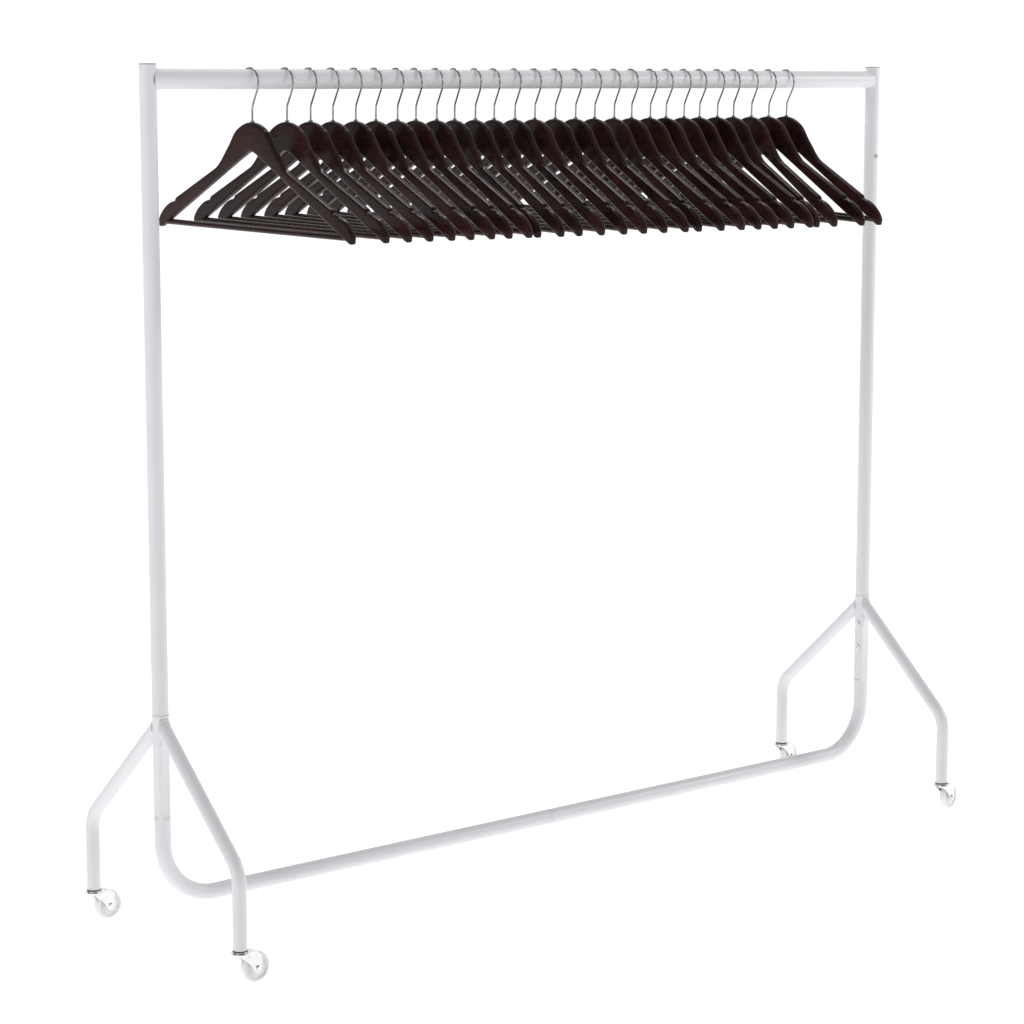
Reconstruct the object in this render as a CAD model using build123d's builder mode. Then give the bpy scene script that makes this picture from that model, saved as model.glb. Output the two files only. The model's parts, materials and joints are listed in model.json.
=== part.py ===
"""Rolling clothes rack: two A-frames on castors, a top rail, a bottom rail and its hangers.

Millimetres, +Z up, X along the top rail, -Y towards the front. The origin is on the floor,
midway between the two A-frames. Each physical piece is one solid, written to its own STEP
file; identical small pieces share a file as separate solids.
"""

import os
from math import asin, atan2, cos, degrees, exp, hypot, pi, radians, sin

from build123d import *

os.makedirs("parts", exist_ok=True)

# ---------------------------------------------------------------- driving dimensions
HEIGHT = 1350.0             # floor to the top of the upright caps
RAIL_SPAN = 1524.0          # top rail between the uprights, five feet
LEG_SPREAD = 410.0          # front leg axis to rear leg axis

UPRIGHT_D = 25.4            # one-inch tube
TOP_RAIL_D = 30.0
BOTTOM_RAIL_D = 25.4
LEG_D = 22.0
WALL = 1.5                  # of every tube
FIT = 0.1                   # gap between pieces that slide together and stay put
RUN = 0.05                  # radial clearance of a turning pin

CAP_T = 2.0                 # head of the upright cap
CAP_SKIRT = 12.0            # how far the cap reaches into its tube
CAP_SKIRT_T = 1.8
PLUG_Z = 1189.0             # small plug in the front of the right upright
PLUG_R = 3.0
PLUG_HEAD_R = 3.4
PLUG_HEAD_T = 1.6
TOP_RAIL_DROP = 23.0        # cap top to the top rail's axis
COPE_DEPTH = 7.7            # how far the top rail's ears reach beside the uprights

COLLAR_Z = 373.0            # flat-cut top of the A-frame
COLLAR_T = 2.0              # dark ring between the A-frame and the upright
COLLAR_R = 12.3
SPIGOT_H = 74.0             # spigot inside the upright
LEG_END_Z = 55.0
KNEE_Z = 174.0              # where the leg's two straight axes meet
KNEE_R = 52.0
APEX_Z = 363.0              # where the front and rear leg axes meet

BOTTOM_RAIL_Z = 81.0
BOTTOM_RAIL_R = 92.0
SEAM = 0.6                  # gap where the bottom rail's halves meet
JOINER_HALF = 70.0          # sleeve inside that seam
JOINER_WALL = 2.0
SQUARE_Z = 216.0            # start of the bottom rail's squared upper end
PRESS_LENGTH = 5.0          # over which the round tube turns square
SQUARE = 20.0               # a 25.4 mm round tube pressed to a square
SQUARE_CORNER_R = 3.0
SQUARE_INNER_R = 1.5
RAIL_SPIGOT_Z = 244.0       # foot of the square bar inside the squared end
BOLT_Z = (277.0, 320.0)     # bolts that hold the squared end to the A-frame
BOLT_R = 2.95
BOLT_HOLE_R = 3.1
BOLT_LENGTH = 9.0
BOLT_HEAD_R = 5.5
BOLT_HEAD_T = 3.0
BOLT_SOCKET_R = 2.3
BOLT_SOCKET_DEPTH = 2.0

WHEEL_R = 24.0
WHEEL_W = 12.0
HUB_R = 7.5
RIM_R = 19.0                # where the flat rim begins
TRAIL = 26.0                # swivel axis to wheel axle
INSERT_T = 2.5              # plastic flange under the leg
INSERT_H = 32.0             # sleeve inside the leg
STEM_R = 4.0
STEM_LENGTH = 36.0
RACE_R = 10.5               # steel washer the fork turns under
RACE_T = 1.4
RIVET_R = 6.5
RIVET_T = 3.0
RACE_GAP = 0.3              # above and below the fork's crown
CROWN_R = 14.0
FORK_T = 2.2
FORK_INNER = 6.9            # half width between the cheeks
FORK_OUTER = 8.9
BOSS_R = 7.5                # round ear of the cheek at the axle
AXLE_R = 2.45
AXLE_HEAD_R = 3.6
AXLE_HEAD_T = 2.4
NUT_R = 4.6
NUT_T = 3.2
CASTORS = {                 # side along X, side along Y, heading of the trailing wheel
    "front_left": (-1, -1, 0.0),
    "rear_left": (-1, 1, 4.0),
    "front_right": (1, -1, 12.0),
    "rear_right": (1, 1, 12.0),
}

HANGER_COUNT = 28
HANGER_FIRST_X = -594.0     # the first hanger hangs apart from the rest
HANGER_SECOND_X = -530.0
HANGER_LAST_X = 551.0
HANGER_KNOCKED = {18: -3.0, 25: -4.4, 26: -4.4}     # extra turn of hangers that were knocked, degrees
HANGER_HALF_W = 258.0
HANGER_T = 11.0             # thickness of the wood
HANGER_TOE_Z = -170.0       # lowest point of the wood, below its top
WINDOW_APEX = 40.0          # top of the wood to the point of the window
WINDOW_TOE_Y = 249.5        # where the window's edge runs out at the bottom
HEAD_BORE_DEPTH = 18.0      # hook's hole in the wood
BAR_DROP = 161.0            # top of the wood to the trouser bar's axis
BAR_R = 4.5
BAR_HALF = 230.0
WIRE_R = 1.45
HOOK_R = 22.0               # to the centre of the wire
HOOK_GAP = 0.3              # between the wire and the top of the rail
HOOK_TAIL = 25.0            # degrees that the hook's end comes down past its middle
STEM_OFFSET = 6.0           # the stem stands in front of the hook's centre
KINK_DROP = 35.0            # hook's centre to the bend above the stem
KINK_R = 12.0
WOOD_DROP = 58.75           # hook's centre to the top of the wood

# ---------------------------------------------------------------- derived places
FRAME_X = (RAIL_SPAN + UPRIGHT_D) / 2
LEG_Y = LEG_SPREAD / 2
TOP_RAIL_Z = HEIGHT - TOP_RAIL_DROP
RACE_TOP = LEG_END_Z - INSERT_T - 0.2
FORK_TOP = RACE_TOP - RACE_T - RACE_GAP
HOOK_CENTRE_Z = TOP_RAIL_Z + TOP_RAIL_D / 2 + HOOK_GAP + WIRE_R - HOOK_R
SIDES = {"left": -1, "right": 1}


def write(name, part):
    """Label one node and write it to its STEP file."""
    part.label = name
    export_step(part, f"parts/{name}.step")


def make_top_rail():
    """Tube whose ends are coped to sit against the uprights."""
    length = 2 * (FRAME_X - UPRIGHT_D / 2 + COPE_DEPTH)
    with BuildPart() as top_rail:
        with BuildSketch(Plane.YZ):
            with Locations((0, TOP_RAIL_Z)):
                Circle(TOP_RAIL_D / 2)
                Circle(TOP_RAIL_D / 2 - WALL, mode=Mode.SUBTRACT)
        extrude(amount=length / 2, both=True)
        with BuildSketch(Plane.XY.offset(TOP_RAIL_Z)):
            with Locations((-FRAME_X, 0), (FRAME_X, 0)):
                Circle(UPRIGHT_D / 2 + RUN)
        extrude(amount=TOP_RAIL_D, both=True, mode=Mode.SUBTRACT)
    write("top_rail", top_rail.part)


def make_upright(name, side):
    """Vertical tube; the right one has a small hole for a plug at the front."""
    bottom = COLLAR_Z + COLLAR_T
    with BuildPart() as upright:
        with BuildSketch(Plane.XY.offset(bottom)):
            with Locations((side * FRAME_X, 0)):
                Circle(UPRIGHT_D / 2)
                Circle(UPRIGHT_D / 2 - WALL, mode=Mode.SUBTRACT)
        extrude(amount=HEIGHT - CAP_T - bottom)
        if side > 0:
            with BuildSketch(Plane.XZ):
                with Locations((FRAME_X, PLUG_Z)):
                    Circle(PLUG_R)
            extrude(amount=UPRIGHT_D, mode=Mode.SUBTRACT)
    write(f"{name}_upright", upright.part)


def make_upright_plug():
    """Black plastic plug pushed into the right upright's front hole."""
    face = UPRIGHT_D / 2
    with BuildPart() as upright_plug:
        with BuildSketch(Plane.XZ.offset(face - 2 * WALL)):
            with Locations((FRAME_X, PLUG_Z)):
                Circle(PLUG_R - FIT)
        extrude(amount=2 * WALL + FIT)
        with BuildSketch(Plane.XZ.offset(face + FIT)):
            with Locations((FRAME_X, PLUG_Z)):
                Circle(PLUG_HEAD_R)
        extrude(amount=PLUG_HEAD_T)
        fillet(upright_plug.faces().sort_by(Axis.Y)[0].edges(), PLUG_HEAD_T / 2)
    write("upright_plug", upright_plug.part)


def make_upright_caps():
    """Grey plastic caps that plug the tops of both uprights."""
    inner_r = UPRIGHT_D / 2 - WALL - FIT
    above = (Align.CENTER, Align.CENTER, Align.MIN)
    below = (Align.CENTER, Align.CENTER, Align.MAX)
    with BuildPart() as upright_caps:
        with Locations((-FRAME_X, 0, HEIGHT - CAP_T), (FRAME_X, 0, HEIGHT - CAP_T)):
            Cylinder(UPRIGHT_D / 2, CAP_T, align=above)
            Cylinder(inner_r, CAP_SKIRT, align=below)
            Cylinder(inner_r - CAP_SKIRT_T, CAP_SKIRT, align=below, mode=Mode.SUBTRACT)
        chamfer(upright_caps.faces().sort_by(Axis.Z)[-2:].edges(), 0.5)
    write("upright_caps", upright_caps.part)


def make_upright_spigots():
    """Spigots with a thin ring on top of the A-frames; the uprights slide over them."""
    above = (Align.CENTER, Align.CENTER, Align.MIN)
    with BuildPart() as upright_spigots:
        with Locations((-FRAME_X, 0, COLLAR_Z), (FRAME_X, 0, COLLAR_Z)):
            Cylinder(COLLAR_R, COLLAR_T, align=above)
            Cylinder(UPRIGHT_D / 2 - WALL - FIT, SPIGOT_H, align=above)
        chamfer(upright_spigots.faces().sort_by(Axis.Z)[-2:].edges(), WALL)
    write("upright_spigots", upright_spigots.part)


# ---------------------------------------------------------------- A-frames
def make_leg(name, side, end):
    """Bent tube from a castor to the squared end it is welded to; end is -1 front, 1 rear."""
    past_apex = 12
    far_point = (-end * past_apex, APEX_Z + past_apex * (APEX_Z - KNEE_Z) / LEG_Y)
    with BuildPart() as leg:
        with BuildLine(Plane.YZ.offset(side * FRAME_X)) as route:
            FilletPolyline((end * LEG_Y, LEG_END_Z), (end * LEG_Y, KNEE_Z), far_point, radius=KNEE_R)
        with BuildSketch(Plane.XY.offset(LEG_END_Z)):
            with Locations((side * FRAME_X, end * LEG_Y)):
                Circle(LEG_D / 2)
                Circle(LEG_D / 2 - WALL, mode=Mode.SUBTRACT)
        sweep(path=route.line)
        split(bisect_by=Plane.XZ.offset(-end * SQUARE / 2), keep=Keep.TOP if end < 0 else Keep.BOTTOM)
        split(bisect_by=Plane.XY.offset(COLLAR_Z), keep=Keep.BOTTOM)
    write(name, leg.part)


def make_rail_spigots():
    """Square bars inside the squared ends, tapped for the bolts, with the uprights' spigots on top."""
    size = SQUARE - 2 * WALL - 2 * FIT
    with BuildPart() as rail_spigots:
        with BuildSketch(Plane.XY.offset(RAIL_SPIGOT_Z)):
            with Locations((-FRAME_X, 0), (FRAME_X, 0)):
                RectangleRounded(size, size, SQUARE_INNER_R)
        extrude(amount=COLLAR_Z - RAIL_SPIGOT_Z)
        for side in SIDES.values():
            with BuildSketch(Plane.YZ.offset(side * FRAME_X)):
                with Locations(*[(0, z) for z in BOLT_Z]):
                    Circle(BOLT_R + RUN)
            extrude(amount=-side * SQUARE, mode=Mode.SUBTRACT)
    write("rail_spigots", rail_spigots.part)


def make_frame_bolts():
    """Button-head bolts in the inner faces of the bottom rail's squared ends."""
    with BuildPart() as frame_bolts:
        for side in SIDES.values():
            face_x = side * (FRAME_X - SQUARE / 2)
            for z in BOLT_Z:
                with BuildSketch(Plane.YZ.offset(face_x + side * BOLT_LENGTH)):
                    with Locations((0, z)):
                        Circle(BOLT_R)
                extrude(amount=-side * BOLT_LENGTH)
                with BuildSketch(Plane.YZ.offset(face_x)):
                    with Locations((0, z)):
                        Circle(BOLT_HEAD_R)
                extrude(amount=-side * BOLT_HEAD_T, taper=18)
                with BuildSketch(Plane.YZ.offset(face_x - side * BOLT_HEAD_T)):
                    with Locations((0, z)):
                        RegularPolygon(BOLT_SOCKET_R, 6)
                extrude(amount=side * BOLT_SOCKET_DEPTH, mode=Mode.SUBTRACT)
    write("frame_bolts", frame_bolts.part)


# ---------------------------------------------------------------- bottom rail
def make_bottom_rail(name, side):
    """Half of the bottom rail: a long bend up to a squared end that stands between the legs."""
    x = side * FRAME_X
    press_z = SQUARE_Z - PRESS_LENGTH
    inner = SQUARE - 2 * WALL
    with BuildPart() as rail:
        with BuildSketch(Plane.XY.offset(press_z)):
            with Locations((x, 0)):
                Circle(BOTTOM_RAIL_D / 2)
        extrude(amount=SQUARE_Z - press_z)
        for level, width in ((press_z, BOTTOM_RAIL_D), (SQUARE_Z, SQUARE)):
            with BuildSketch(Plane.XY.offset(level)):
                with Locations((x, 0)):
                    Rectangle(width, width)
        loft(mode=Mode.INTERSECT)
        with BuildSketch(Plane.XY.offset(SQUARE_Z - 1)):
            with Locations((x, 0)):
                RectangleRounded(SQUARE, SQUARE, SQUARE_CORNER_R)
        extrude(amount=COLLAR_Z - SQUARE_Z + 1)
        with BuildLine(Plane.XZ) as route:
            FilletPolyline(
                (side * SEAM / 2, BOTTOM_RAIL_Z), (x, BOTTOM_RAIL_Z), (x, press_z), radius=BOTTOM_RAIL_R
            )
        for radius, mode in ((BOTTOM_RAIL_D / 2, Mode.ADD), (BOTTOM_RAIL_D / 2 - WALL, Mode.SUBTRACT)):
            with BuildSketch(Plane.YZ.offset(side * SEAM / 2)):
                with Locations((0, BOTTOM_RAIL_Z)):
                    Circle(radius)
            sweep(path=route.line, mode=mode)
        with BuildSketch(Plane.XY.offset(press_z - 1)):
            with Locations((x, 0)):
                RectangleRounded(inner, inner, SQUARE_INNER_R)
        extrude(amount=2 * (COLLAR_Z - press_z), mode=Mode.SUBTRACT)
        with BuildSketch(Plane.YZ.offset(x)):
            with Locations(*[(0, z) for z in BOLT_Z]):
                Circle(BOLT_HOLE_R)
        extrude(amount=-side * SQUARE, mode=Mode.SUBTRACT)
    write(f"bottom_rail_{name}", rail.part)


def make_rail_joiner():
    """Sleeve inside the bottom rail that joins its two halves."""
    outer_r = BOTTOM_RAIL_D / 2 - WALL - FIT
    with BuildPart() as rail_joiner:
        with BuildSketch(Plane.YZ):
            with Locations((0, BOTTOM_RAIL_Z)):
                Circle(outer_r)
                Circle(outer_r - JOINER_WALL, mode=Mode.SUBTRACT)
        extrude(amount=JOINER_HALF, both=True)
    write("rail_joiner", rail_joiner.part)


# ---------------------------------------------------------------- castors
def leg_centres():
    """Where the four legs stand, in the order of CASTORS."""
    return [(sx * FRAME_X, sy * LEG_Y) for sx, sy, _ in CASTORS.values()]


def make_castor_inserts():
    """Black plastic sleeves pushed into the leg ends to hold the castor stems."""
    with BuildPart() as castor_inserts:
        with BuildSketch(Plane.XY.offset(LEG_END_Z - INSERT_T)):
            with Locations(*leg_centres()):
                Circle(LEG_D / 2 + 0.4)
        extrude(amount=INSERT_T)
        with BuildSketch(Plane.XY.offset(LEG_END_Z)):
            with Locations(*leg_centres()):
                Circle(LEG_D / 2 - WALL - FIT)
        extrude(amount=INSERT_H)
        with BuildSketch(Plane.XY.offset(LEG_END_Z - INSERT_T)):
            with Locations(*leg_centres()):
                Circle(STEM_R + FIT)
        extrude(amount=INSERT_T + INSERT_H, mode=Mode.SUBTRACT)
    write("castor_inserts", castor_inserts.part)


def make_castor_stems():
    """Steel stems with a race washer above the fork and a riveted head below it."""
    head_top = FORK_TOP - FORK_T - RACE_GAP
    with BuildPart() as castor_stems:
        for bottom, radius, height in (
            (head_top - RIVET_T, RIVET_R, RIVET_T),
            (head_top - RIVET_T / 2, STEM_R, STEM_LENGTH),
            (RACE_TOP - RACE_T, RACE_R, RACE_T),
        ):
            with BuildSketch(Plane.XY.offset(bottom)):
                with Locations(*leg_centres()):
                    Circle(radius)
            extrude(amount=height)
    write("castor_stems", castor_stems.part)


def castor_plane(sx, sy, heading):
    """Side plane of one castor: local X along the trail, local Y up."""
    turn = radians(heading)
    return Plane(
        origin=(sx * FRAME_X, sy * LEG_Y, 0),
        x_dir=(cos(turn), sin(turn), 0),
        z_dir=(sin(turn), -cos(turn), 0),
    )


def make_fork(name, side_plane):
    """Pressed steel fork: a round crown, and two cheeks that slope back to the axle."""
    crown = Plane(side_plane.origin, x_dir=side_plane.x_dir, z_dir=(0, 0, 1))
    tip = (-CROWN_R, FORK_TOP - FORK_T)
    rear = (TRAIL + BOSS_R, WHEEL_R)
    boss_turn = radians(25)
    boss_low = (TRAIL - BOSS_R * cos(boss_turn), WHEEL_R - BOSS_R * sin(boss_turn))
    with BuildPart() as fork:
        with BuildSketch(side_plane):
            with BuildLine():
                Polyline((tip[0], FORK_TOP), (24, FORK_TOP), (rear[0], FORK_TOP - 8), rear)
                ThreePointArc(rear, (TRAIL, WHEEL_R - BOSS_R), boss_low)
                ThreePointArc(boss_low, (4, 38.0), tip)
                Line(tip, (tip[0], FORK_TOP))
            make_face()
        extrude(amount=FORK_OUTER, both=True)
        with BuildSketch(crown.offset(FORK_TOP - FORK_T)):
            Circle(CROWN_R)
        extrude(amount=FORK_T)
        with BuildSketch(crown.offset(FORK_TOP - FORK_T)):
            Rectangle(4 * (TRAIL + BOSS_R), 2 * FORK_INNER)
        extrude(amount=-FORK_TOP, mode=Mode.SUBTRACT)
        with BuildSketch(crown):
            Circle(STEM_R + RUN)
        extrude(amount=2 * FORK_TOP, mode=Mode.SUBTRACT)
        with BuildSketch(side_plane):
            with Locations((TRAIL, WHEEL_R)):
                Circle(AXLE_R + RUN)
        extrude(amount=2 * FORK_OUTER, both=True, mode=Mode.SUBTRACT)
    write(f"{name}_castor_fork", fork.part)


def make_axle(name, side_plane):
    """Axle bolt through the cheeks, with a round head at the front and a nut behind."""
    with BuildPart() as axle:
        for start, radius, length in (
            (-FORK_OUTER - NUT_T - 1, AXLE_R, 2 * FORK_OUTER + NUT_T + 2),
            (FORK_OUTER, AXLE_HEAD_R, AXLE_HEAD_T),
        ):
            with BuildSketch(side_plane.offset(start)):
                with Locations((TRAIL, WHEEL_R)):
                    Circle(radius)
            extrude(amount=length)
        with BuildSketch(side_plane.offset(-FORK_OUTER - NUT_T)):
            with Locations((TRAIL, WHEEL_R)):
                RegularPolygon(NUT_R, 6)
        extrude(amount=NUT_T)
        rims = [e for e in axle.edges().filter_by(GeomType.CIRCLE) if abs(e.radius - AXLE_HEAD_R) < RUN]
        fillet(sorted(rims, key=lambda e: e.center().Y)[0], AXLE_HEAD_T / 2)
    write(f"{name}_castor_axle", axle.part)


def make_wheel(name, side_plane):
    """White nylon wheel with rounded shoulders, recessed sides and a bored hub."""
    half = WHEEL_W / 2
    bore = AXLE_R + 0.07
    hub = half + 0.5        # the hub stands a little proud of the rim
    web = half - 2          # and the web lies inside it
    axle_plane = Plane(
        origin=side_plane.from_local_coords((TRAIL, WHEEL_R, 0)),
        x_dir=(0, 0, 1),
        z_dir=side_plane.x_dir,
    )
    with BuildPart() as wheel:
        with BuildSketch(axle_plane):
            with BuildLine():
                Polyline((bore, -hub), (HUB_R, -hub), (HUB_R + 1, -web), (RIM_R - 1.5, -web), (RIM_R, -half))
                Line((RIM_R, -half), (WHEEL_R - 3, -half))
                ThreePointArc((WHEEL_R - 3, -half), (WHEEL_R, 0), (WHEEL_R - 3, half))
                Line((WHEEL_R - 3, half), (RIM_R, half))
                Polyline((RIM_R, half), (RIM_R - 1.5, web), (HUB_R + 1, web), (HUB_R, hub), (bore, hub))
                Line((bore, hub), (bore, -hub))
            make_face()
        revolve(axis=Axis(axle_plane.origin, axle_plane.y_dir))
    write(f"{name}_castor_wheel", wheel.part)


# ---------------------------------------------------------------- hangers
def hanger_x(number):
    """Where a hanger hangs: the first apart, the rest roughly evenly spread, as hands leave them."""
    if number == 1:
        return HANGER_FIRST_X
    step = number - 2
    steps = HANGER_COUNT - 2
    drift = 5.0 * sin(2 * pi * step / 13) + 1.4 * sin(2.9 * step) if 0 < step < steps else 0
    return HANGER_SECOND_X + (HANGER_LAST_X - HANGER_SECOND_X) * step / steps + drift


def hanger_turn(number):
    """Degrees about the vertical: the front ends swing left, most from the tenth one on."""
    if number < 10:
        return -0.48 * (number - 1)
    settled = -4.2 - 3.7 * exp(-(number - 10) / 6) + 0.5 * sin(1.9 * number)
    return settled + HANGER_KNOCKED.get(number, 0.0)


def hanger_roll(number):
    """Degrees about the rail: the hook's offset lets the front arm hang a little lower."""
    return 0.8 + 2.0 * (number - 1) / (HANGER_COUNT - 1)


def half_outline(sign):
    """One shoulder of the hanger, from the top of its head to the point of the window."""
    tip_y = HANGER_HALF_W * sign
    neck = (98 * sign, -73.0)
    notch = (207 * sign, -122.0)
    paddle = (209 * sign, -126.5)
    toe = (tip_y, HANGER_TOE_Z + 7)
    toe_low = (tip_y - 3.5 * sign, HANGER_TOE_Z)
    window_toe = (WINDOW_TOE_Y * sign, HANGER_TOE_Z)
    head = [(0, 0), (37 * sign, -12.0), (62 * sign, -40), neck]
    Spline(*head, tangents=[(sign, 0), (sign * 0.92, -0.4)])
    Line(neck, notch)
    Line(notch, paddle)
    ThreePointArc(paddle, (241 * sign, -140.5), toe)
    Line(toe, toe_low)
    Line(toe_low, window_toe)
    Line(window_toe, (0, -WINDOW_APEX))


def make_hanger_pieces():
    """Wood, trouser bar and hook of one hanger, with the middle of the hook's round at the origin."""
    bar_z = -WOOD_DROP - BAR_DROP
    with BuildPart() as wood:
        with BuildSketch(Plane.YZ.shift_origin((0, -STEM_OFFSET, -WOOD_DROP))):
            with BuildLine():
                half_outline(1)
                half_outline(-1)
            make_face()
        extrude(amount=HANGER_T / 2, both=True)
        with BuildSketch(Plane.XY.offset(-WOOD_DROP)):
            with Locations((0, -STEM_OFFSET)):
                Circle(WIRE_R + FIT)
        extrude(amount=-HEAD_BORE_DEPTH, mode=Mode.SUBTRACT)
        with BuildSketch(Plane.XZ.offset(STEM_OFFSET)):
            with Locations((0, bar_z)):
                Circle(BAR_R + FIT)
        extrude(amount=BAR_HALF + FIT, both=True, mode=Mode.SUBTRACT)

    with BuildPart() as bar:
        with BuildSketch(Plane.XZ.offset(STEM_OFFSET)):
            with Locations((0, bar_z)):
                Circle(BAR_R)
        extrude(amount=BAR_HALF, both=True)

    stem_z = 2 - WOOD_DROP - HEAD_BORE_DEPTH
    reach = hypot(STEM_OFFSET, KINK_DROP)
    lean = asin(HOOK_R / reach) - atan2(STEM_OFFSET, KINK_DROP)
    touch = (-HOOK_R * cos(lean), -HOOK_R * sin(lean))
    sweep_angle = 180 + degrees(lean) + HOOK_TAIL
    with BuildPart() as hook:
        with BuildLine(Plane.YZ) as route:
            FilletPolyline((-STEM_OFFSET, stem_z), (-STEM_OFFSET, -KINK_DROP), touch, radius=KINK_R)
            JernArc(touch, (-sin(lean), cos(lean)), HOOK_R, -sweep_angle)
        with BuildSketch(Plane.XY.offset(stem_z)):
            with Locations((0, -STEM_OFFSET)):
                Circle(WIRE_R)
        sweep(path=route.line)
    return wood.part, bar.part, hook.part


def make_hangers():
    """The whole set, each hanger a node of three separate solids."""
    pieces = make_hanger_pieces()
    for number in range(1, HANGER_COUNT + 1):
        turned = Location((hanger_x(number), 0, HOOK_CENTRE_Z), (0, 0, hanger_turn(number)))
        with BuildPart() as hanger:
            with Locations(turned * Location((0, 0, 0), (hanger_roll(number), 0, 0))):
                for piece in pieces:
                    add(piece)
        write(f"hanger_{number:02d}", hanger.part)


# ---------------------------------------------------------------- the whole rack
make_top_rail()
make_upright_plug()
make_upright_caps()
make_upright_spigots()
make_rail_spigots()
make_frame_bolts()
make_rail_joiner()
make_castor_inserts()
make_castor_stems()
for frame_name, frame_side in SIDES.items():
    make_upright(frame_name, frame_side)
    make_bottom_rail(frame_name, frame_side)
for corner, (x_side, y_side, trail_heading) in CASTORS.items():
    make_leg(f"{corner}_leg", x_side, y_side)
    corner_plane = castor_plane(x_side, y_side, trail_heading)
    make_fork(corner, corner_plane)
    make_axle(corner, corner_plane)
    make_wheel(corner, corner_plane)
make_hangers()
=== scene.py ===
"""The looks of the rolling clothes rack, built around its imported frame. Metres, +Z up."""

import json
from math import asin, atan2, cos, exp, hypot, pi, radians, sin, sqrt

import bmesh
import bpy
from mathutils import Matrix, Vector


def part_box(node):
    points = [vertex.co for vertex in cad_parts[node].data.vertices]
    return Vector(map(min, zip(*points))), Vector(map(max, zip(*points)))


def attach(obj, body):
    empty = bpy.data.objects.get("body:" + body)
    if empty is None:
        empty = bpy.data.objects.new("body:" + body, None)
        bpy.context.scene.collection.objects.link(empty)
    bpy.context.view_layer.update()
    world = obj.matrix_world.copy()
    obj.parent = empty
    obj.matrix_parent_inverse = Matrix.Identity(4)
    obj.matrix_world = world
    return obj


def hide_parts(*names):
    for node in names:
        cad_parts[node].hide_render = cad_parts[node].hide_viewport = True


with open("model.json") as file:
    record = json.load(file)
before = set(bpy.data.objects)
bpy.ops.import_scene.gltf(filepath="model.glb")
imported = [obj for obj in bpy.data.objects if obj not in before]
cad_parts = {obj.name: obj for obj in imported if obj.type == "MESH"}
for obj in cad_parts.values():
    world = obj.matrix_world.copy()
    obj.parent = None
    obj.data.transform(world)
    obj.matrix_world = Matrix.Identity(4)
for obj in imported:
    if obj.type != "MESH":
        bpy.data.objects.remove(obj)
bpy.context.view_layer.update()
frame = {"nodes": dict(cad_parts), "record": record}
nodes = frame["nodes"]
record = frame["record"]
MM = 0.001

CORNERS = ("front_left", "rear_left", "front_right", "rear_right")

# Camera: metres and degrees
LENS = 97.5
CAMERA_PLACE = (-3.0016, -3.4961, 1.3231)
CAMERA_DIP = 8.818          # below the horizontal
CAMERA_HEADING = -39.889    # from +Y, about the vertical

# Studio: metres, degrees and watts
FLOOR_HALF = 60.0
FLOOR_GLOW = 0.72           # enough to clip the floor to the backdrop's white
SKY_COLOUR = (0.985, 0.992, 1.0, 1)
SKY_LEVEL = 1.06
SKY_ZONES = (               # direction, outer and inner edge, change of level
    ((-0.14, -0.99, 0.1), 72, 14, -1.02),       # in front of the rack
    ((-0.66, 0.75, 0.0), 44, 16, -0.95),        # behind it, on the left
    ((0.0, 0.0, 1.0), 66, 18, -0.75),           # overhead
)
LAMPS = (                   # name, place, aim, size, power
    ("left_softbox", (-3.9, -1.6, 3.0), (0, 0, 0.9), (0.6, 0.6), 22),
    ("right_softbox", (3.2, -2.3, 2.3), (0.4, 0, 0.9), (0.8, 0.8), 40),
    ("overhead_strip", (-0.3, 0.62, 3.2), (-0.3, 0.1, 1.2), (3.4, 0.14), 19),
)

# Hangers: millimetres and degrees from here on
HANGER_COUNT = 28
FIRST_HANGER_X = -594.0
SECOND_HANGER_X = -530.0
LAST_HANGER_X = 551.0
KNOCKED = {18: -3.0, 25: -4.4, 26: -4.4}    # extra turn of hangers that were knocked
HOOK_CENTRE_Z = 1321.75     # middle of a hook's round, above the floor
HOOK_R = 22.0
HOOK_PAST_LEVEL = 24        # how far the hook runs on below its middle, at the back
HOOK_STEPS = 44
WIRE_R = 1.45
STEM_OFFSET = 6.0           # the stem stands in front of the hook's middle
STEM_SUNK = 10              # length of wire inside the wood
KINK_DROP = 35.0
KINK_REACH = 3.4
FERRULE = ((1.3, -1), (3.3, -1), (3.5, 0.4), (3.4, 1.6), (2.8, 2.3), (1.3, 2.6))    # radius, height

HANGER_T = 11.0
WOOD_ROUNDING = 3.4
ROUNDING_ANGLES = (0, 22, 44, 66, 90)
WOOD_DROP = 58.75           # the wood's top lies below the hook's middle
HEAD = ((0, 0), (37, -12), (62, -40), (98, -73))                    # (y, z) from the wood's top
NOTCH = (207, -122)
PADDLE = ((209.5, -127), (226, -131.5), (241, -140.5), (252, -151.5), (257.8, -163))
TIP = (254, -169.9)
WINDOW_TOE = (249.5, -169.9)
WINDOW_SLOPE = 0.5206
WINDOW_SOFTNESS = 8.0       # how blunt the window's top is

BAR_DROP = 161.0            # wood's top to the trouser bar
BAR_R = 4.5
BAR_TIP_R = 3.6
BAR_HALF = 241
BAR_CHAMFER = 2
BAR_RING = 120              # extra rings along the bar

# Castor wheel: (radius, height) from the hub's bore to beside the tread's crown
WHEEL_HALF = (
    (2.6, 6.4), (6.9, 6.4), (7.4, 6.2), (7.6, 5.8), (8.4, 4.3), (9.2, 4.0), (16.8, 4.0),
    (17.8, 4.4), (18.5, 5.7), (19.1, 6.0), (21.0, 6.0), (22.0, 5.75), (22.8, 5.1), (23.4, 4.0),
    (23.8, 2.3),
)
WHEEL_R = 24.0

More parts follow.
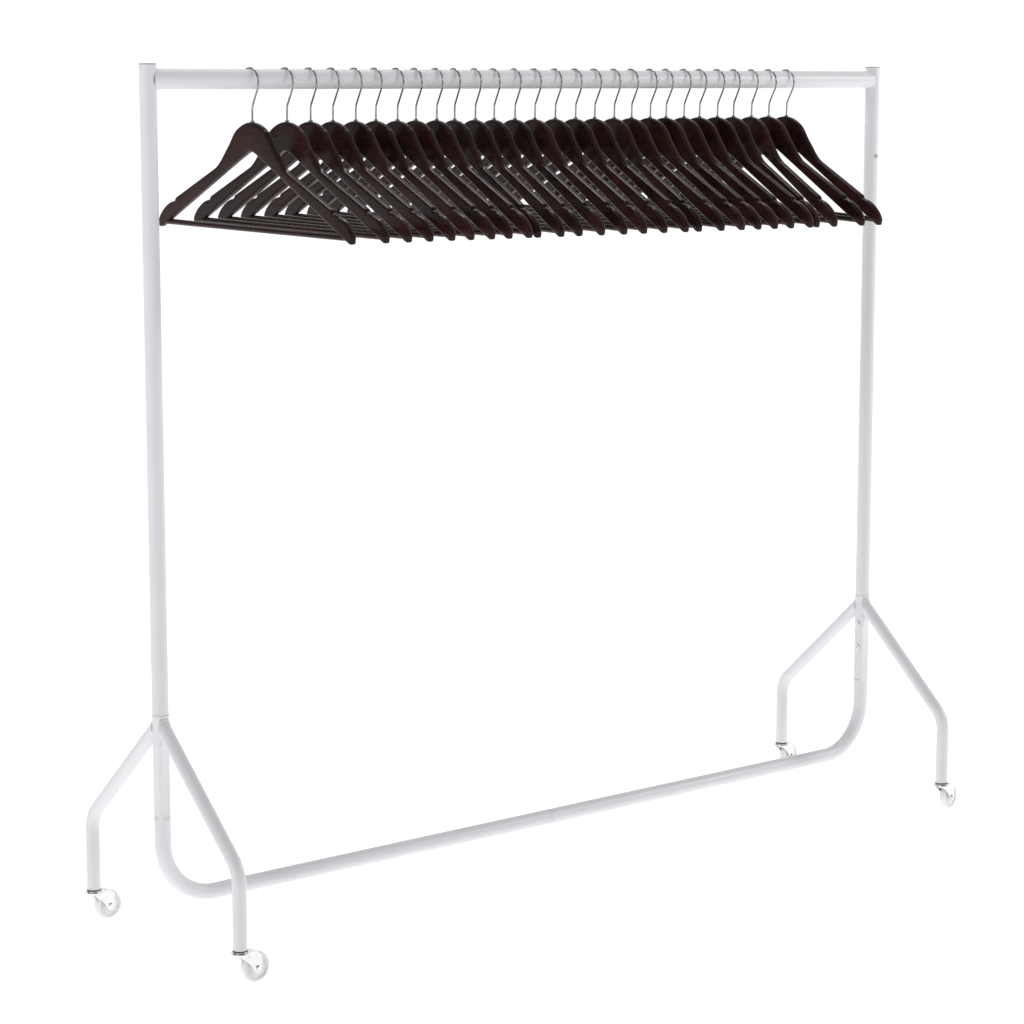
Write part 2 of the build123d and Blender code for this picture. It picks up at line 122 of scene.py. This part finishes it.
# Welds and the ring where an upright stands on its A-frame
LEG_WELD_Y = 10.5
LEG_WELD_Z = 353.8
LEG_WELD_HALF_WIDE = 10.6
LEG_WELD_HALF_HIGH = 14.6
LEG_WELD_R = 1.5
RAIL_WELD_ROUND = 14.9
RAIL_WELD_R = 1.15
RAIL_WELD_LEAST = 5.2       # least distance from the upright's axis
UPRIGHT_R = 12.7
COLLAR_RING = (             # radius, height above the floor
    (11.7, 370.6), (12.6, 370.4), (13.3, 370.9), (13.5, 371.6), (13.5, 373.9), (13.3, 374.5),
    (12.6, 374.9), (11.7, 374.95),
)


# ---------------------------------------------------------------- camera, floor and light
def make_camera():
    """A long lens at hanging-rail height, looking a little down at the rack's front left."""
    data = bpy.data.cameras.new("camera")
    data.sensor_width = 36.0
    data.lens = LENS
    data.clip_end = 200.0
    camera = bpy.data.objects.new("camera", data)
    camera.location = CAMERA_PLACE
    camera.rotation_euler = (radians(90 - CAMERA_DIP), 0, radians(CAMERA_HEADING))
    bpy.context.scene.collection.objects.link(camera)
    bpy.context.scene.camera = camera


def make_floor():
    """A wide pale floor that runs into the white backdrop."""
    mesh = bpy.data.meshes.new("floor")
    corners = [(x * FLOOR_HALF, y * FLOOR_HALF, 0) for x, y in ((-1, -1), (1, -1), (1, 1), (-1, 1))]
    mesh.from_pydata(corners, [], [(0, 1, 2, 3)])
    floor = bpy.data.objects.new("floor", mesh)
    bpy.context.scene.collection.objects.link(floor)
    material, shader = principled("pale_floor", (0.8, 0.8, 0.8), 0.9)
    shader.inputs["Specular IOR Level"].default_value = 0.0
    shader.inputs["Emission Color"].default_value = (1, 1, 1, 1)
    shader.inputs["Emission Strength"].default_value = FLOOR_GLOW
    mesh.materials.append(material)


def zone(tree, direction, outer, inner, amount):
    """Part of the sky around one direction: 0 outside it, amount at its middle."""
    coordinates = tree.nodes.new("ShaderNodeTexCoord")
    dot = tree.nodes.new("ShaderNodeVectorMath")
    dot.operation = "DOT_PRODUCT"
    dot.inputs[1].default_value = Vector(direction).normalized()
    tree.links.new(coordinates.outputs["Generated"], dot.inputs[0])
    spread = tree.nodes.new("ShaderNodeMapRange")
    spread.interpolation_type = "SMOOTHSTEP"
    spread.inputs["From Min"].default_value = cos(radians(outer))
    spread.inputs["From Max"].default_value = cos(radians(inner))
    spread.inputs["To Min"].default_value = 0.0
    spread.inputs["To Max"].default_value = amount
    tree.links.new(dot.outputs["Value"], spread.inputs["Value"])
    return spread.outputs["Result"]


def make_world():
    """A white studio sky, dimmed in a few zones so that the white tubes show their shape."""
    world = bpy.data.worlds.new("studio")
    world.use_nodes = True
    tree = world.node_tree
    total = None
    for direction, outer, inner, change in SKY_ZONES:
        add = tree.nodes.new("ShaderNodeMath")
        add.operation = "ADD"
        tree.links.new(zone(tree, direction, outer, inner, change), add.inputs[0])
        if total is None:
            add.inputs[1].default_value = SKY_LEVEL
        else:
            tree.links.new(total, add.inputs[1])
        total = add.outputs["Value"]
    background = tree.nodes["Background"]
    background.inputs["Color"].default_value = SKY_COLOUR
    tree.links.new(total, background.inputs["Strength"])
    bpy.context.scene.world = world
    bpy.context.scene.view_settings.view_transform = "Standard"


def make_lamp(name, place, aim, size, power):
    """A soft box of a width and height, in metres, that stays out of the picture."""
    data = bpy.data.lights.new(name, "AREA")
    data.shape = "RECTANGLE"
    data.size, data.size_y = size
    data.energy = power
    lamp = bpy.data.objects.new(name, data)
    lamp.location = place
    lamp.rotation_euler = (Vector(aim) - Vector(place)).to_track_quat("-Z", "Y").to_euler()
    lamp.visible_camera = False
    bpy.context.scene.collection.objects.link(lamp)


# ---------------------------------------------------------------- materials
def principled(name, colour, roughness, metallic=0.0):
    """A new material and its shader."""
    material = bpy.data.materials.new(name)
    material.use_nodes = True
    shader = material.node_tree.nodes["Principled BSDF"]
    shader.inputs["Base Color"].default_value = (*colour, 1)
    shader.inputs["Roughness"].default_value = roughness
    shader.inputs["Metallic"].default_value = metallic
    return material, shader


def noise(tree, scale, detail=2.0, stretch=(1, 1, 1)):
    """Object-space noise; stretch scales the axes, so a small number draws it out."""
    coordinates = tree.nodes.new("ShaderNodeTexCoord")
    mapping = tree.nodes.new("ShaderNodeMapping")
    mapping.inputs["Scale"].default_value = stretch
    texture = tree.nodes.new("ShaderNodeTexNoise")
    texture.inputs["Scale"].default_value = scale
    texture.inputs["Detail"].default_value = detail
    tree.links.new(coordinates.outputs["Object"], mapping.inputs["Vector"])
    tree.links.new(mapping.outputs["Vector"], texture.inputs["Vector"])
    return texture.outputs["Fac"]


def blend_colours(tree, value, *stops):
    """Colour that follows a value through stops of (place, colour)."""
    ramp = tree.nodes.new("ShaderNodeValToRGB")
    elements = ramp.color_ramp.elements
    while len(elements) < len(stops):
        elements.new(0.5)
    for element, (place, colour) in zip(elements, stops):
        element.position = place
        element.color = (*colour, 1)
    tree.links.new(value, ramp.inputs["Fac"])
    return ramp.outputs["Color"]


def vary(tree, value, low, high):
    """A noise value spread between low and high."""
    spread = tree.nodes.new("ShaderNodeMapRange")
    spread.inputs["From Min"].default_value = 0.3
    spread.inputs["From Max"].default_value = 0.7
    spread.inputs["To Min"].default_value = low
    spread.inputs["To Max"].default_value = high
    tree.links.new(value, spread.inputs["Value"])
    return spread.outputs["Result"]


def add_bump(tree, shader, height, strength, distance):
    """A fine surface grain."""
    bump = tree.nodes.new("ShaderNodeBump")
    bump.inputs["Strength"].default_value = strength
    bump.inputs["Distance"].default_value = distance
    tree.links.new(height, bump.inputs["Height"])
    tree.links.new(bump.outputs["Normal"], shader.inputs["Normal"])


def powder_coat():
    """White enamel: faint tone drift, satin gloss and a fine orange-peel skin."""
    material, shader = principled("white_powder_coat", (0.8, 0.81, 0.82), 0.38)
    tree = material.node_tree
    drift = noise(tree, scale=9)
    tone = blend_colours(tree, drift, (0.3, (0.735, 0.745, 0.765)), (0.7, (0.765, 0.773, 0.79)))
    tree.links.new(tone, shader.inputs["Base Color"])
    gloss = vary(tree, noise(tree, scale=60), low=0.33, high=0.44)
    tree.links.new(gloss, shader.inputs["Roughness"])
    add_bump(tree, shader, noise(tree, scale=700), strength=0.12, distance=0.0004)
    return material


def plain_plastic(name, dark, light, roughness):
    """Moulded plastic with a fine matt grain."""
    material, shader = principled(name, light, roughness)
    tree = material.node_tree
    tone = blend_colours(tree, noise(tree, scale=220, detail=4), (0.3, dark), (0.7, light))
    tree.links.new(tone, shader.inputs["Base Color"])
    gloss = vary(tree, noise(tree, scale=90), low=roughness - 0.08, high=roughness + 0.08)
    tree.links.new(gloss, shader.inputs["Roughness"])
    add_bump(tree, shader, noise(tree, scale=1500, detail=3), strength=0.2, distance=0.0002)
    return material


def metal(name, dark, light, smooth, rough, grain):
    """Plated steel: cloudy tone, patchy gloss and a slight surface grain."""
    material, shader = principled(name, light, smooth, 1.0)
    tree = material.node_tree
    tone = blend_colours(tree, noise(tree, scale=130, detail=4), (0.32, dark), (0.68, light))
    tree.links.new(tone, shader.inputs["Base Color"])
    gloss = vary(tree, noise(tree, scale=260, detail=3), low=smooth, high=rough)
    tree.links.new(gloss, shader.inputs["Roughness"])
    add_bump(tree, shader, noise(tree, scale=900), strength=grain, distance=0.0002)
    return material


def nylon():
    """Natural white nylon that lets a little light through."""
    material, shader = principled("white_nylon", (0.86, 0.855, 0.83), 0.35)
    tree = material.node_tree
    cloud = noise(tree, scale=70, detail=3)
    tone = blend_colours(tree, cloud, (0.3, (0.84, 0.832, 0.8)), (0.7, (0.88, 0.876, 0.86)))
    tree.links.new(tone, shader.inputs["Base Color"])
    gloss = vary(tree, noise(tree, scale=180), low=0.28, high=0.42)
    tree.links.new(gloss, shader.inputs["Roughness"])
    shader.inputs["Subsurface Weight"].default_value = 0.35
    shader.inputs["Subsurface Radius"].default_value = (0.004, 0.0036, 0.003)
    shader.inputs["Subsurface Scale"].default_value = 1.0
    add_bump(tree, shader, noise(tree, scale=800), strength=0.08, distance=0.0002)
    return material


def dark_wood():
    """Very dark mahogany lacquer: the grain runs front to back and barely shows through."""
    material, shader = principled("dark_wood", (0.012, 0.006, 0.005), 0.25)
    tree = material.node_tree
    grain = noise(tree, scale=30, detail=8, stretch=(9, 0.9, 7))
    cloud = noise(tree, scale=16, detail=3, stretch=(1.6, 0.7, 1))
    fine = blend_colours(
        tree, grain,
        (0.3, (0.0125, 0.0052, 0.0047)), (0.5, (0.018, 0.0073, 0.0063)), (0.72, (0.028, 0.0112, 0.009)),
    )
    tint = blend_colours(tree, cloud, (0.35, (0.6, 0.52, 0.56)), (0.65, (1.5, 1.2, 1.1)))
    mix = tree.nodes.new("ShaderNodeMix")
    mix.data_type = "RGBA"
    mix.blend_type = "MULTIPLY"
    mix.inputs["Factor"].default_value = 1.0
    tree.links.new(fine, mix.inputs["A"])
    tree.links.new(tint, mix.inputs["B"])
    tree.links.new(mix.outputs["Result"], shader.inputs["Base Color"])
    tree.links.new(vary(tree, cloud, low=0.13, high=0.24), shader.inputs["Roughness"])
    shader.inputs["Specular IOR Level"].default_value = 0.16
    add_bump(tree, shader, grain, strength=0.12, distance=0.0004)
    return material


# ---------------------------------------------------------------- mesh building
def finish_piece(name, bm, material, body):
    """Turns a bmesh in millimetres into a smooth object that rides on a body."""
    bmesh.ops.scale(bm, vec=(MM, MM, MM), verts=bm.verts)
    bmesh.ops.recalc_face_normals(bm, faces=bm.faces)
    for face in bm.faces:
        face.smooth = True
    mesh = bpy.data.meshes.new(name)
    bm.to_mesh(mesh)
    bm.free()
    mesh.materials.append(material)
    piece = bpy.data.objects.new(name, mesh)
    bpy.context.scene.collection.objects.link(piece)
    normals = piece.modifiers.new("weighted_normals", "WEIGHTED_NORMAL")
    normals.weight = 80
    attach(piece, body)
    return piece


def skin(bm, rings, closed_ends):
    """Faces between equal rings; closed_ends is "fan" (capped), "loop" (first to last) or "none"."""
    count = len(rings[0])
    pairs = list(zip(rings, rings[1:]))
    if closed_ends == "loop":
        pairs.append((rings[-1], rings[0]))
    for one, two in pairs:
        for i in range(count):
            j = (i + 1) % count
            bm.faces.new((one[i], one[j], two[j], two[i]))
    if closed_ends == "fan":
        bm.faces.new(rings[0])
        bm.faces.new(rings[-1])


def lathe(bm, profile, place, segments=40, closed_ends="loop"):
    """Turns a profile of (radius, height) about the local Z axis of place."""
    rings = []
    for radius, height in profile:
        ring = []
        for i in range(segments):
            angle = 2 * pi * i / segments
            point = Vector((radius * cos(angle), radius * sin(angle), height))
            ring.append(bm.verts.new(place @ point))
        rings.append(ring)
    skin(bm, rings, closed_ends)


def tube(bm, points, radii, across, place=Matrix(), segments=12, loop=False):
    """A round bead or wire along points; across is a direction roughly square to all of them."""
    rings = []
    last = len(points) - 1
    for i, point in enumerate(points):
        ahead = points[(i + 1) % len(points)] if loop or i < last else point
        behind = points[i - 1] if loop or i > 0 else point
        along = (ahead - behind).normalized()
        side = across.cross(along).normalized()
        up = along.cross(side)
        ring = []
        for k in range(segments):
            angle = 2 * pi * k / segments
            offset = side * (radii[i] * cos(angle)) + up * (radii[i] * sin(angle))
            ring.append(bm.verts.new(place @ (point + offset)))
        rings.append(ring)
    skin(bm, rings, "loop" if loop else "fan")


def domed(points, radius):
    """Points and radii of a wire, with a few more at each end that round it off."""
    start, end = points[0], points[-1]
    before = (start - points[1]).normalized()
    after = (end - points[-2]).normalized()
    steps = ((0.97, 0.25), (0.78, 0.62), (0.35, 0.94))      # width and reach, as parts of the radius
    lead = [start + before * (radius * reach) for _, reach in reversed(steps)]
    tail = [end + after * (radius * reach) for _, reach in steps]
    narrowing = [radius * width for width, _ in steps]
    return lead + points + tail, narrowing[::-1] + [radius] * len(points) + narrowing


# ---------------------------------------------------------------- hangers
def hanger_x(number):
    """Where a hanger hangs: the first apart, the rest roughly evenly spread."""
    if number == 1:
        return FIRST_HANGER_X
    step = number - 2
    steps = HANGER_COUNT - 2
    drift = 5.0 * sin(2 * pi * step / 13) + 1.4 * sin(2.9 * step) if 0 < step < steps else 0
    return SECOND_HANGER_X + (LAST_HANGER_X - SECOND_HANGER_X) * step / steps + drift


def hanger_turn(number):
    """Degrees about the vertical."""
    if number < 10:
        return -0.48 * (number - 1)
    settled = -4.2 - 3.7 * exp(-(number - 10) / 6) + 0.5 * sin(1.9 * number)
    return settled + KNOCKED.get(number, 0.0)


def hanger_roll(number):
    """Degrees about the rail."""
    return 0.8 + 2.0 * (number - 1) / (HANGER_COUNT - 1)


def curve_through(points, start, end, steps):
    """Smooth curve through points, with its first and last directions given."""
    slopes = [start * (points[1] - points[0]).length]
    slopes += [(after - before) / 2 for before, after in zip(points, points[2:])]
    slopes.append(end * (points[-1] - points[-2]).length)
    curve = []
    for p, q, m, n in zip(points, points[1:], slopes, slopes[1:]):
        for i in range(steps):
            t = i / steps
            a, b = 2 * t ** 3 - 3 * t ** 2 + 1, t ** 3 - 2 * t ** 2 + t
            curve.append(p * a + m * b + q * (1 - a) + n * (t ** 3 - t ** 2))
    return curve + [points[-1]]


def soft_corner(before, corner, after, reach, steps=5):
    """Points that round a corner."""
    one = corner + (before - corner).normalized() * reach
    two = corner + (after - corner).normalized() * reach
    points = []
    for i in range(steps + 1):
        t = i / steps
        points.append(one * (1 - t) ** 2 + corner * (2 * t * (1 - t)) + two * t ** 2)
    return points


def wood_halves():
    """Outer and window edge of one shoulder: equally many (y, z) points, from the wood's top."""
    head = [Vector(p) for p in HEAD]
    head = curve_through(head, start=Vector((1, 0)), end=Vector((0.92, -0.4)), steps=7)
    notch, tip, window = Vector(NOTCH), Vector(TIP), Vector(WINDOW_TOE)
    paddle = [Vector(p) for p in PADDLE]
    toe = paddle[-1]
    arm = [head[-1].lerp(notch, step / 8) for step in range(1, 8)]
    outer = head + arm + soft_corner(arm[-1], notch, paddle[0], reach=2.4)
    outer += curve_through(paddle, start=Vector((0.97, -0.2)), end=Vector((0.35, -0.94)), steps=3)[:-1]
    outer += soft_corner(toe, tip, window, reach=2.2, steps=3)

    inner = []
    reached = 0.0
    rise = hypot(window.x, WINDOW_SOFTNESS)
    for i, point in enumerate(outer):
        reached = max(reached, point.x / toe.x)
        y = window.x * (0.97 * reached + 0.03 * i / (len(outer) - 1))
        z = window.y + WINDOW_SLOPE * (rise - hypot(y, WINDOW_SOFTNESS))
        inner.append(Vector((y, z)))
    return outer, inner


def wood_outline(outer, inner):
    """The whole edge as one clockwise loop: rear shoulder down, its window edge up, then the front."""
    mirrored_inner = [Vector((-p.x, p.y)) for p in inner[1:]]
    mirrored_outer = [Vector((-p.x, p.y)) for p in outer[1:]]
    return outer + inner[::-1] + mirrored_inner + mirrored_outer[::-1]


def face_strips(count):
    """Index quads that fill the flat face between the outer and the window edge."""
    last = count - 1
    total = 4 * count - 2
    quads = []
    for i in range(last):
        quads.append((i, i + 1, 2 * last - i, 2 * last + 1 - i))
        quads.append(((total - i) % total, total - i - 1, 2 * last + 2 + i, 2 * last + 1 + i))
    return quads


def inward_normals(outline):
    """Direction into the wood at each point of its edge, a little longer where the edge turns."""
    normals = []
    for i, point in enumerate(outline):
        before = (point - outline[i - 1]).normalized()
        after = (outline[(i + 1) % len(outline)] - point).normalized()
        mean = (before + after).normalized()
        normals.append(Vector((mean.y, -mean.x)) / max(0.85, mean.dot(before)))
    return normals


def hook_path():
    """Middle of the wire about the middle of the hook's round, from the stem up and over."""
    reach = hypot(STEM_OFFSET, KINK_DROP)
    lean = asin(HOOK_R / reach) - atan2(STEM_OFFSET, KINK_DROP)
    kink = Vector((-STEM_OFFSET, -KINK_DROP))
    touch = Vector((-HOOK_R * cos(lean), -HOOK_R * sin(lean)))
    path = [Vector((-STEM_OFFSET, -WOOD_DROP - STEM_SUNK)), Vector((-STEM_OFFSET, -WOOD_DROP + 6))]
    path += soft_corner(path[0], kink, touch, KINK_REACH)
    first = pi + lean
    sweep = first + radians(HOOK_PAST_LEVEL)
    for i in range(HOOK_STEPS + 1):
        angle = first - sweep * i / HOOK_STEPS
        path.append(Vector((HOOK_R * cos(angle), HOOK_R * sin(angle))))
    return [Vector((0, p.x, p.y)) for p in path]


def make_hanger(number, wood, chrome):
    """One hanger: rounded wood with its trouser bar, and the wire hook with its ferrule."""
    name = f"hanger_{number:02d}"
    place = Matrix.Translation((hanger_x(number), 0, HOOK_CENTRE_Z))
    place = place @ Matrix.Rotation(radians(hanger_turn(number)), 4, "Z")
    place = place @ Matrix.Rotation(radians(hanger_roll(number)), 4, "X")

    bm = bmesh.new()
    outer, inner = wood_halves()
    outline = wood_outline(outer, inner)
    inward = inward_normals(outline)
    flat = HANGER_T / 2 - WOOD_ROUNDING
    rings = []
    for side, angles in ((-1, [-angle for angle in ROUNDING_ANGLES[::-1]]), (1, ROUNDING_ANGLES)):
        for angle in angles:
            x = side * flat + WOOD_ROUNDING * sin(radians(angle))
            inset = WOOD_ROUNDING * (1 - cos(radians(angle)))
            edge = [p + n * inset for p, n in zip(outline, inward)]
            points = [Vector((x, p.x - STEM_OFFSET, p.y - WOOD_DROP)) for p in edge]
            rings.append([bm.verts.new(place @ point) for point in points])
    skin(bm, rings, "none")
    for quad in face_strips(len(outer)):
        for ring in (rings[0], rings[-1]):
            bm.faces.new([ring[i] for i in quad])
    bar = place @ Matrix.Translation((0, -STEM_OFFSET, -WOOD_DROP - BAR_DROP))
    bar = bar @ Matrix.Rotation(pi / 2, 4, "X")
    bar_profile = (
        (BAR_TIP_R, -BAR_HALF), (BAR_R, BAR_CHAMFER - BAR_HALF), (BAR_R, -BAR_RING), (BAR_R, 0),
        (BAR_R, BAR_RING), (BAR_R, BAR_HALF - BAR_CHAMFER), (BAR_TIP_R, BAR_HALF),
    )
    lathe(bm, bar_profile, bar, segments=24, closed_ends="fan")
    piece = finish_piece(f"{name}_wood", bm, wood, name)
    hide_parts(name)

    bm = bmesh.new()
    points, radii = domed(hook_path(), WIRE_R)
    tube(bm, points, radii, Vector((1, 0, 0)), place)
    foot = place @ Matrix.Translation((0, -STEM_OFFSET, -WOOD_DROP))
    lathe(bm, FERRULE, foot, segments=24)
    finish_piece(f"{name}_hook", bm, chrome, name)


# ---------------------------------------------------------------- castors
def make_wheels(material):
    """White wheels: raised hub, thinner web and a rim with a softly crowned tread."""
    mirrored = [(radius, -height) for radius, height in reversed(WHEEL_HALF)]
    profile = list(WHEEL_HALF) + [(WHEEL_R, 0.0)] + mirrored
    for joint in record["behaviour"]["joints"]:
        if not joint["name"].endswith("_wheel_spin"):
            continue
        corner = joint["name"].removesuffix("_wheel_spin")
        axis = Vector(joint["axis"]).to_track_quat("Z", "X").to_matrix().to_4x4()
        bm = bmesh.new()
        lathe(bm, profile, Matrix.Translation(Vector(joint["pos_m"]) / MM) @ axis, segments=64)
        wheel = finish_piece(f"{corner}_wheel_turned", bm, material, f"{corner}_wheel")
        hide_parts(f"{corner}_castor_wheel")


# ---------------------------------------------------------------- welds
def leg_welds(coat, side_name, side, middle_x):
    """Beads around the legs' cut ends, on the front and rear flats of a squared end."""
    bm = bmesh.new()
    steps = 72
    for end in (-1, 1):
        loop = []
        radii = []
        for i in range(steps):
            angle = 2 * pi * i / steps
            x = middle_x + LEG_WELD_HALF_WIDE * cos(angle)
            z = LEG_WELD_Z + LEG_WELD_HALF_HIGH * sin(angle)
            loop.append(Vector((x, end * LEG_WELD_Y, z)))
            radii.append(LEG_WELD_R + 0.18 * sin(13 * angle + side) + 0.1 * sin(29 * angle))
        tube(bm, loop, radii, Vector((0, 1, 0)), loop=True)
    finish_piece(f"{side_name}_leg_welds", bm, coat, "rack_frame")


def collar_ring(coat, side_name, middle_x):
    """The ring where an upright stands on its A-frame."""
    bm = bmesh.new()
    lathe(bm, COLLAR_RING, Matrix.Translation((middle_x, 0, 0)), segments=64)
    finish_piece(f"{side_name}_collar_ring", bm, coat, "rack_frame")


def rail_weld(coat, side_name, side, middle_x):
    """A bead where the top rail's coped end meets the upright."""
    low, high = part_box("top_rail")
    rail_z = (low.z + high.z) / 2 / MM
    bm = bmesh.new()
    loop = []
    radii = []
    steps = 96
    for i in range(steps):
        angle = 2 * pi * i / steps
        y, z = RAIL_WELD_ROUND * cos(angle), RAIL_WELD_ROUND * sin(angle)
        out = max(RAIL_WELD_LEAST, sqrt(max(0.0, UPRIGHT_R ** 2 - y ** 2)))
        loop.append(Vector((middle_x - side * out, y, rail_z + z)))
        radii.append(RAIL_WELD_R + 0.12 * sin(17 * angle + side))
    tube(bm, loop, radii, Vector((1, 0, 0)), loop=True)
    finish_piece(f"{side_name}_rail_weld", bm, coat, "rack_frame")


def make_welds(coat):
    """Painted beads and the collar ring at each end of the rack."""
    for side_name, side in (("left", -1), ("right", 1)):
        low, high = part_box(f"{side_name}_upright")
        middle_x = (low.x + high.x) / 2 / MM
        leg_welds(coat, side_name, side, middle_x)
        collar_ring(coat, side_name, middle_x)
        rail_weld(coat, side_name, side, middle_x)


# ---------------------------------------------------------------- the CAD pieces that stay visible
def soften(node, width):
    """Rounds the hard edges of a CAD piece by a width in metres."""
    weld = node.modifiers.new("weld", "WELD")
    weld.merge_threshold = 0.01 * MM
    bevel = node.modifiers.new("soft_edges", "BEVEL")
    bevel.width = width
    bevel.segments = 2
    bevel.limit_method = "ANGLE"
    bevel.angle_limit = radians(40)
    bevel.harden_normals = True


make_camera()
make_floor()
make_world()
for lamp in LAMPS:
    make_lamp(*lamp)

materials = {
    "white_powder_coat": powder_coat(),
    "grey_plastic": plain_plastic("grey_plastic", (0.36, 0.37, 0.38), (0.46, 0.47, 0.48), 0.5),
    "black_plastic": plain_plastic("black_plastic", (0.018, 0.019, 0.021), (0.034, 0.035, 0.038), 0.42),
    "zinc_steel": metal("zinc_steel", (0.68, 0.685, 0.7), (0.8, 0.805, 0.81), 0.2, 0.32, 0.05),
    "white_nylon": nylon(),
    "dark_wood": dark_wood(),
    "chrome_wire": metal("chrome_wire", (0.2, 0.2, 0.205), (0.4, 0.4, 0.405), 0.1, 0.22, 0.05),
}
for part in record["subparts"]:
    for holder in nodes[part["node"]].material_slots:
        holder.material = materials[part["material_slot"]]

for number in range(1, HANGER_COUNT + 1):
    make_hanger(number, materials["dark_wood"], materials["chrome_wire"])
make_wheels(materials["white_nylon"])
make_welds(materials["white_powder_coat"])
for corner in CORNERS:
    soften(nodes[f"{corner}_castor_fork"], 0.5 * MM)
    soften(nodes[f"{corner}_castor_axle"], 0.3 * MM)
for name in ("upright_caps", "castor_inserts", "frame_bolts"):
    soften(nodes[name], 0.4 * MM)
